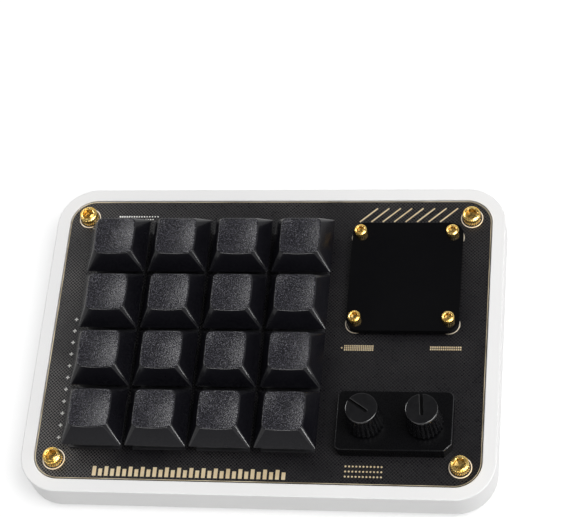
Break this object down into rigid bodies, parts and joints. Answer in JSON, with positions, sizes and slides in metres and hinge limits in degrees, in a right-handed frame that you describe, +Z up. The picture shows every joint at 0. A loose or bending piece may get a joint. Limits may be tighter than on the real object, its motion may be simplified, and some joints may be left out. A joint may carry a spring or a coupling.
{
  "type": "macro keypad with knobs",
  "caption": "Desk macro keypad: square black keys, a display under a dark cover and push knobs on a black plate, in a white tray case with rubber feet.",
  "frame": {"origin": "on the table, under the middle of the case's footprint", "axes": "+X to the user's right along the case's width, +Y to the rear, +Z up"},
  "size_m": [0.1398, 0.1018, 0.0275],
  "materials": {
    "white_case": "smooth satin white",
    "black_rubber": "smooth rubber",
    "black_board": "black solder mask with a fine woven relief and gold tracks",
    "gold_screw": "bright, knurled",
    "brass_fitting": "turned",
    "inner_board": "black solder mask",
    "chip_plastic": "moulded epoxy",
    "steel_shell": "drawn steel",
    "switch_housing": "moulded nylon",
    "spring_steel": "drawn wire",
    "contact_metal": "tinned bronze",
    "dark_cover": "polished near-black acrylic",
    "display_glass": "dark glass",
    "deck_plastic": "fine matt black",
    "encoder_metal": "turned",
    "stem_plastic": "smooth",
    "cap_plastic": "fine grained black",
    "knob_black": "black with a bright turned edge"
  },
  "bodies": {
    "base": {"case_shell": "white_case", "rear_feet": "black_rubber", "front_foot_strips": "black_rubber", "top_plate": "black_board", "plate_screws": "gold_screw", "plate_inserts": "brass_fitting", "main_board": "inner_board", "controller_chip": "chip_plastic", "usb_socket": "steel_shell", "switch_lower_housings": "switch_housing", "switch_upper_housings": "switch_housing", "switch_springs": "spring_steel", "switch_contact_pins": "contact_metal", "display_cover": "dark_cover", "display_screws": "gold_screw", "display_spacers": "brass_fitting", "display_board": "inner_board", "display_nuts": "brass_fitting", "display_panel": "display_glass", "display_header": "chip_plastic", "knob_deck": "deck_plastic", "encoder_bodies": "encoder_metal"},
    "key_r1c1": {"keycap_r1c1": "cap_plastic", "switch_stem_r1c1": "stem_plastic"},
    "key_r1c2": {"keycap_r1c2": "cap_plastic", "switch_stem_r1c2": "stem_plastic"},
    "key_r1c3": {"keycap_r1c3": "cap_plastic", "switch_stem_r1c3": "stem_plastic"},
    "key_r1c4": {"keycap_r1c4": "cap_plastic", "switch_stem_r1c4": "stem_plastic"},
    "key_r2c1": {"keycap_r2c1": "cap_plastic", "switch_stem_r2c1": "stem_plastic"},
    "key_r2c2": {"keycap_r2c2": "cap_plastic", "switch_stem_r2c2": "stem_plastic"},
    "key_r2c3": {"keycap_r2c3": "cap_plastic", "switch_stem_r2c3": "stem_plastic"},
    "key_r2c4": {"keycap_r2c4": "cap_plastic", "switch_stem_r2c4": "stem_plastic"},
    "key_r3c1": {"keycap_r3c1": "cap_plastic", "switch_stem_r3c1": "stem_plastic"},
    "key_r3c2": {"keycap_r3c2": "cap_plastic", "switch_stem_r3c2": "stem_plastic"},
    "key_r3c3": {"keycap_r3c3": "cap_plastic", "switch_stem_r3c3": "stem_plastic"},
    "key_r3c4": {"keycap_r3c4": "cap_plastic", "switch_stem_r3c4": "stem_plastic"},
    "key_r4c1": {"keycap_r4c1": "cap_plastic", "switch_stem_r4c1": "stem_plastic"},
    "key_r4c2": {"keycap_r4c2": "cap_plastic", "switch_stem_r4c2": "stem_plastic"},
    "key_r4c3": {"keycap_r4c3": "cap_plastic", "switch_stem_r4c3": "stem_plastic"},
    "key_r4c4": {"keycap_r4c4": "cap_plastic", "switch_stem_r4c4": "stem_plastic"},
    "pusher_left": {"encoder_pusher_left": "chip_plastic"},
    "dial_left": {"encoder_shaft_left": "encoder_metal", "knob_left": "knob_black"},
    "pusher_right": {"encoder_pusher_right": "chip_plastic"},
    "dial_right": {"encoder_shaft_right": "encoder_metal", "knob_right": "knob_black"}
  },
  "joints": [
    {"name": "press_r1c1", "type": "slide", "parent": "base", "child": "key_r1c1", "axis": [0, 0, -1], "range_m": [0, 0.004], "stiffness_N_per_m": 70, "springref_m": -0.005, "deforming": ["switch_springs"]},
    {"name": "press_r1c2", "type": "slide", "parent": "base", "child": "key_r1c2", "axis": [0, 0, -1], "range_m": [0, 0.004], "stiffness_N_per_m": 70, "springref_m": -0.005, "deforming": ["switch_springs"]},
    {"name": "press_r1c3", "type": "slide", "parent": "base", "child": "key_r1c3", "axis": [0, 0, -1], "range_m": [0, 0.004], "stiffness_N_per_m": 70, "springref_m": -0.005, "deforming": ["switch_springs"]},
    {"name": "press_r1c4", "type": "slide", "parent": "base", "child": "key_r1c4", "axis": [0, 0, -1], "range_m": [0, 0.004], "stiffness_N_per_m": 70, "springref_m": -0.005, "deforming": ["switch_springs"]},
    {"name": "press_r2c1", "type": "slide", "parent": "base", "child": "key_r2c1", "axis": [0, 0, -1], "range_m": [0, 0.004], "stiffness_N_per_m": 70, "springref_m": -0.005, "deforming": ["switch_springs"]},
    {"name": "press_r2c2", "type": "slide", "parent": "base", "child": "key_r2c2", "axis": [0, 0, -1], "range_m": [0, 0.004], "stiffness_N_per_m": 70, "springref_m": -0.005, "deforming": ["switch_springs"]},
    {"name": "press_r2c3", "type": "slide", "parent": "base", "child": "key_r2c3", "axis": [0, 0, -1], "range_m": [0, 0.004], "stiffness_N_per_m": 70, "springref_m": -0.005, "deforming": ["switch_springs"]},
    {"name": "press_r2c4", "type": "slide", "parent": "base", "child": "key_r2c4", "axis": [0, 0, -1], "range_m": [0, 0.004], "stiffness_N_per_m": 70, "springref_m": -0.005, "deforming": ["switch_springs"]},
    {"name": "press_r3c1", "type": "slide", "parent": "base", "child": "key_r3c1", "axis": [0, 0, -1], "range_m": [0, 0.004], "stiffness_N_per_m": 70, "springref_m": -0.005, "deforming": ["switch_springs"]},
    {"name": "press_r3c2", "type": "slide", "parent": "base", "child": "key_r3c2", "axis": [0, 0, -1], "range_m": [0, 0.004], "stiffness_N_per_m": 70, "springref_m": -0.005, "deforming": ["switch_springs"]},
    {"name": "press_r3c3", "type": "slide", "parent": "base", "child": "key_r3c3", "axis": [0, 0, -1], "range_m": [0, 0.004], "stiffness_N_per_m": 70, "springref_m": -0.005, "deforming": ["switch_springs"]},
    {"name": "press_r3c4", "type": "slide", "parent": "base", "child": "key_r3c4", "axis": [0, 0, -1], "range_m": [0, 0.004], "stiffness_N_per_m": 70, "springref_m": -0.005, "deforming": ["switch_springs"]},
    {"name": "press_r4c1", "type": "slide", "parent": "base", "child": "key_r4c1", "axis": [0, 0, -1], "range_m": [0, 0.004], "stiffness_N_per_m": 70, "springref_m": -0.005, "deforming": ["switch_springs"]},
    {"name": "press_r4c2", "type": "slide", "parent": "base", "child": "key_r4c2", "axis": [0, 0, -1], "range_m": [0, 0.004], "stiffness_N_per_m": 70, "springref_m": -0.005, "deforming": ["switch_springs"]},
    {"name": "press_r4c3", "type": "slide", "parent": "base", "child": "key_r4c3", "axis": [0, 0, -1], "range_m": [0, 0.004], "stiffness_N_per_m": 70, "springref_m": -0.005, "deforming": ["switch_springs"]},
    {"name": "press_r4c4", "type": "slide", "parent": "base", "child": "key_r4c4", "axis": [0, 0, -1], "range_m": [0, 0.004], "stiffness_N_per_m": 70, "springref_m": -0.005, "deforming": ["switch_springs"]},
    {"name": "push_left", "type": "slide", "parent": "base", "child": "pusher_left", "axis": [0, 0, -1], "range_m": [0, 0.0005], "stiffness_N_per_m": 500, "springref_m": -0.004},
    {"name": "turn_left", "type": "hinge", "parent": "pusher_left", "child": "dial_left", "pos_m": [0.03225, -0.029, 0.0178], "axis": [0, 0, 1], "continuous": true},
    {"name": "push_right", "type": "slide", "parent": "base", "child": "pusher_right", "axis": [0, 0, -1], "range_m": [0, 0.0005], "stiffness_N_per_m": 500, "springref_m": -0.004},
    {"name": "turn_right", "type": "hinge", "parent": "pusher_right", "child": "dial_right", "pos_m": [0.04935, -0.029, 0.0178], "axis": [0, 0, 1], "continuous": true}
  ]
}
